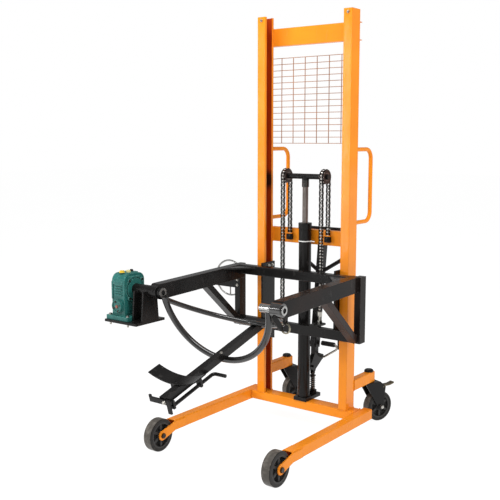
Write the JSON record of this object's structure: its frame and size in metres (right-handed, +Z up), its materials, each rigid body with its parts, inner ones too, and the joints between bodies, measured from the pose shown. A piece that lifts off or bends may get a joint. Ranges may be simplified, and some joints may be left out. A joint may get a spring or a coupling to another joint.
{
  "type": "tipping drum stacker",
  "caption": "Hand-pumped mast stacker on wheeled legs, with a chain-lifted carriage and a geared tipping cradle that holds a drum on its side.",
  "frame": {"origin": "on the floor, on the mid plane between the legs, below the front face of the mast posts", "axes": "+Z up, +Y towards the push handles at the back, +X to the right as seen standing in front of the cradle"},
  "size_m": [1.0395, 1.4761, 2.123],
  "materials": {
    "orange_paint": "gloss enamel",
    "black_paint": "semi-gloss enamel",
    "green_paint": "semi-gloss enamel on a casting",
    "zinc_steel": "zinc plated",
    "chrome_steel": "polished",
    "dark_steel": "oiled",
    "wheel_hub": "black paint",
    "tyre": "matt polyurethane",
    "rubber_grip": "matt",
    "gear_bronze": "machined"
  },
  "bodies": {
    "frame": {"base_crossbeam": "orange_paint", "leg_left": "orange_paint", "leg_right": "orange_paint", "mast_post_left": "orange_paint", "mast_post_right": "orange_paint", "top_crossbeam": "orange_paint", "mid_crossbeam": "orange_paint", "mesh_guard": "orange_paint", "handle_left": "orange_paint", "handle_right": "orange_paint", "caster_arms": "orange_paint", "front_axles": "zinc_steel", "lift_cylinder": "black_paint", "pump_body": "black_paint"},
    "front_wheel_left": {"front_hub_left": "wheel_hub", "front_tyre_left": "tyre"},
    "front_wheel_right": {"front_hub_right": "wheel_hub", "front_tyre_right": "tyre"},
    "caster_left": {"caster_fork_left": "black_paint"},
    "caster_right": {"caster_fork_right": "black_paint"},
    "caster_wheel_left": {"caster_hub_left": "wheel_hub", "caster_tyre_left": "tyre"},
    "caster_wheel_right": {"caster_hub_right": "wheel_hub", "caster_tyre_right": "tyre"},
    "brake_left": {"brake_pedal_left": "zinc_steel"},
    "brake_right": {"brake_pedal_right": "zinc_steel"},
    "lift": {"piston_rod": "chrome_steel", "crosshead": "black_paint", "rear_chains": "dark_steel"},
    "chain_wheel_pair": {"chain_wheels": "dark_steel"},
    "carriage": {"upper_beam": "black_paint", "lower_beam": "black_paint", "carriage_arm_left": "black_paint", "carriage_arm_right": "black_paint", "arm_brace_left": "black_paint", "arm_brace_right": "black_paint", "roller_plate_left": "black_paint", "roller_plate_right": "black_paint", "chain_anchors": "zinc_steel", "front_chains": "dark_steel", "gear_platform": "black_paint", "gear_case": "green_paint"},
    "upper_rollers": {"upper_guide_rollers": "dark_steel"},
    "lower_rollers": {"lower_guide_rollers": "dark_steel"},
    "cradle": {"trunnion_left": "zinc_steel", "trunnion_right": "zinc_steel", "worm_wheel": "gear_bronze", "main_hoop": "black_paint", "stay_hoop": "black_paint", "spine": "black_paint", "saddle": "black_paint"},
    "hook": {"rim_hook": "zinc_steel"},
    "ring": {"tie_ring": "zinc_steel"},
    "worm": {"worm_shaft": "zinc_steel", "handwheel": "chrome_steel"},
    "pump_lever": {"hand_lever": "black_paint", "foot_pedal": "chrome_steel", "pedal_grip": "rubber_grip"},
    "pump_plunger": {"plunger": "zinc_steel", "pump_spring": "dark_steel"}
  },
  "joints": [
    {"name": "front_wheel_left_roll", "type": "hinge", "parent": "frame", "child": "front_wheel_left", "pos_m": [-0.348, -0.718, 0.08], "axis": [1, 0, 0], "continuous": true},
    {"name": "caster_left_swivel", "type": "hinge", "parent": "frame", "child": "caster_left", "pos_m": [-0.264, 0.262, 0.2177], "axis": [0, 0, 1], "continuous": true},
    {"name": "caster_wheel_left_roll", "type": "hinge", "parent": "caster_left", "child": "caster_wheel_left", "pos_m": [-0.24077, 0.31949, 0.08], "axis": [0.9272, -0.3746, 0], "continuous": true},
    {"name": "brake_left_press", "type": "hinge", "parent": "caster_left", "child": "brake_left", "pos_m": [-0.23403, 0.33617, 0.1857], "axis": [0.9272, -0.3746, 0], "range_deg": [-15, 0]},
    {"name": "front_wheel_right_roll", "type": "hinge", "parent": "frame", "child": "front_wheel_right", "pos_m": [0.348, -0.718, 0.08], "axis": [1, 0, 0], "continuous": true},
    {"name": "caster_right_swivel", "type": "hinge", "parent": "frame", "child": "caster_right", "pos_m": [0.264, 0.262, 0.2177], "axis": [0, 0, 1], "continuous": true},
    {"name": "caster_wheel_right_roll", "type": "hinge", "parent": "caster_right", "child": "caster_wheel_right", "pos_m": [0.28723, 0.31949, 0.08], "axis": [0.9272, -0.3746, 0], "continuous": true},
    {"name": "brake_right_press", "type": "hinge", "parent": "caster_right", "child": "brake_right", "pos_m": [0.29397, 0.33617, 0.1857], "axis": [0.9272, -0.3746, 0], "range_deg": [-15, 0]},
    {"name": "lift_stroke", "type": "slide", "parent": "frame", "child": "lift", "axis": [0, 0, 1], "range_m": [-0.14, 0.6], "deforming": ["rear_chains"]},
    {"name": "carriage_rise", "type": "slide", "parent": "lift", "child": "carriage", "axis": [0, 0, 1], "range_m": [-0.14, 0.6], "deforming": ["front_chains"]},
    {"name": "chain_wheel_turn", "type": "hinge", "parent": "lift", "child": "chain_wheel_pair", "pos_m": [0, 0.035, 1.311], "axis": [1, 0, 0], "range_deg": [-1045, 250]},
    {"name": "upper_roller_roll", "type": "hinge", "parent": "carriage", "child": "upper_rollers", "pos_m": [0, 0.038, 0.812], "axis": [1, 0, 0], "range_deg": [-500, 2110]},
    {"name": "lower_roller_roll", "type": "hinge", "parent": "carriage", "child": "lower_rollers", "pos_m": [0, 0.038, 0.463], "axis": [1, 0, 0], "range_deg": [-2110, 500]},
    {"name": "cradle_tip", "type": "hinge", "parent": "carriage", "child": "cradle", "pos_m": [0, -0.704, 0.7795], "axis": [1, 0, 0], "continuous": true},
    {"name": "handwheel_turn", "type": "hinge", "parent": "carriage", "child": "worm", "pos_m": [-0.547, -0.704, 0.6995], "axis": [0, 0.9997, 0.0262], "continuous": true},
    {"name": "hook_turn", "type": "hinge", "parent": "cradle", "child": "hook", "pos_m": [0.024, -0.85975, 0.42139], "axis": [0, -0.9598, -0.2807], "range_deg": [0, 60]},
    {"name": "ring_swing", "type": "hinge", "parent": "carriage", "child": "ring", "pos_m": [0.334, -0.628, 0.70773], "axis": [1, 0, 0], "range_deg": [-28, 35]},
    {"name": "lever_pump", "type": "hinge", "parent": "frame", "child": "pump_lever", "pos_m": [0, 0.092, 0.3], "axis": [1, 0, 0], "range_deg": [-20, 0], "stiffness_Nm_per_rad": 20, "springref_deg": 34.38},
    {"name": "plunger_stroke", "type": "slide", "parent": "frame", "child": "pump_plunger", "axis": [0, 0, 1], "range_m": [-0.0105, 0], "deforming": ["pump_spring"]}
  ],
  "couplings": [
    {"joint": "carriage_rise", "follows": "lift_stroke", "ratio": 1},
    {"joint": "chain_wheel_turn", "follows": "lift_stroke", "rad_per_m": -30.15},
    {"joint": "upper_roller_roll", "follows": "lift_stroke", "rad_per_m": 61.162},
    {"joint": "lower_roller_roll", "follows": "lift_stroke", "rad_per_m": -61.162},
    {"joint": "handwheel_turn", "follows": "cradle_tip", "ratio": 30},
    {"joint": "plunger_stroke", "follows": "lever_pump", "m_per_rad": 0.029}
  ]
}
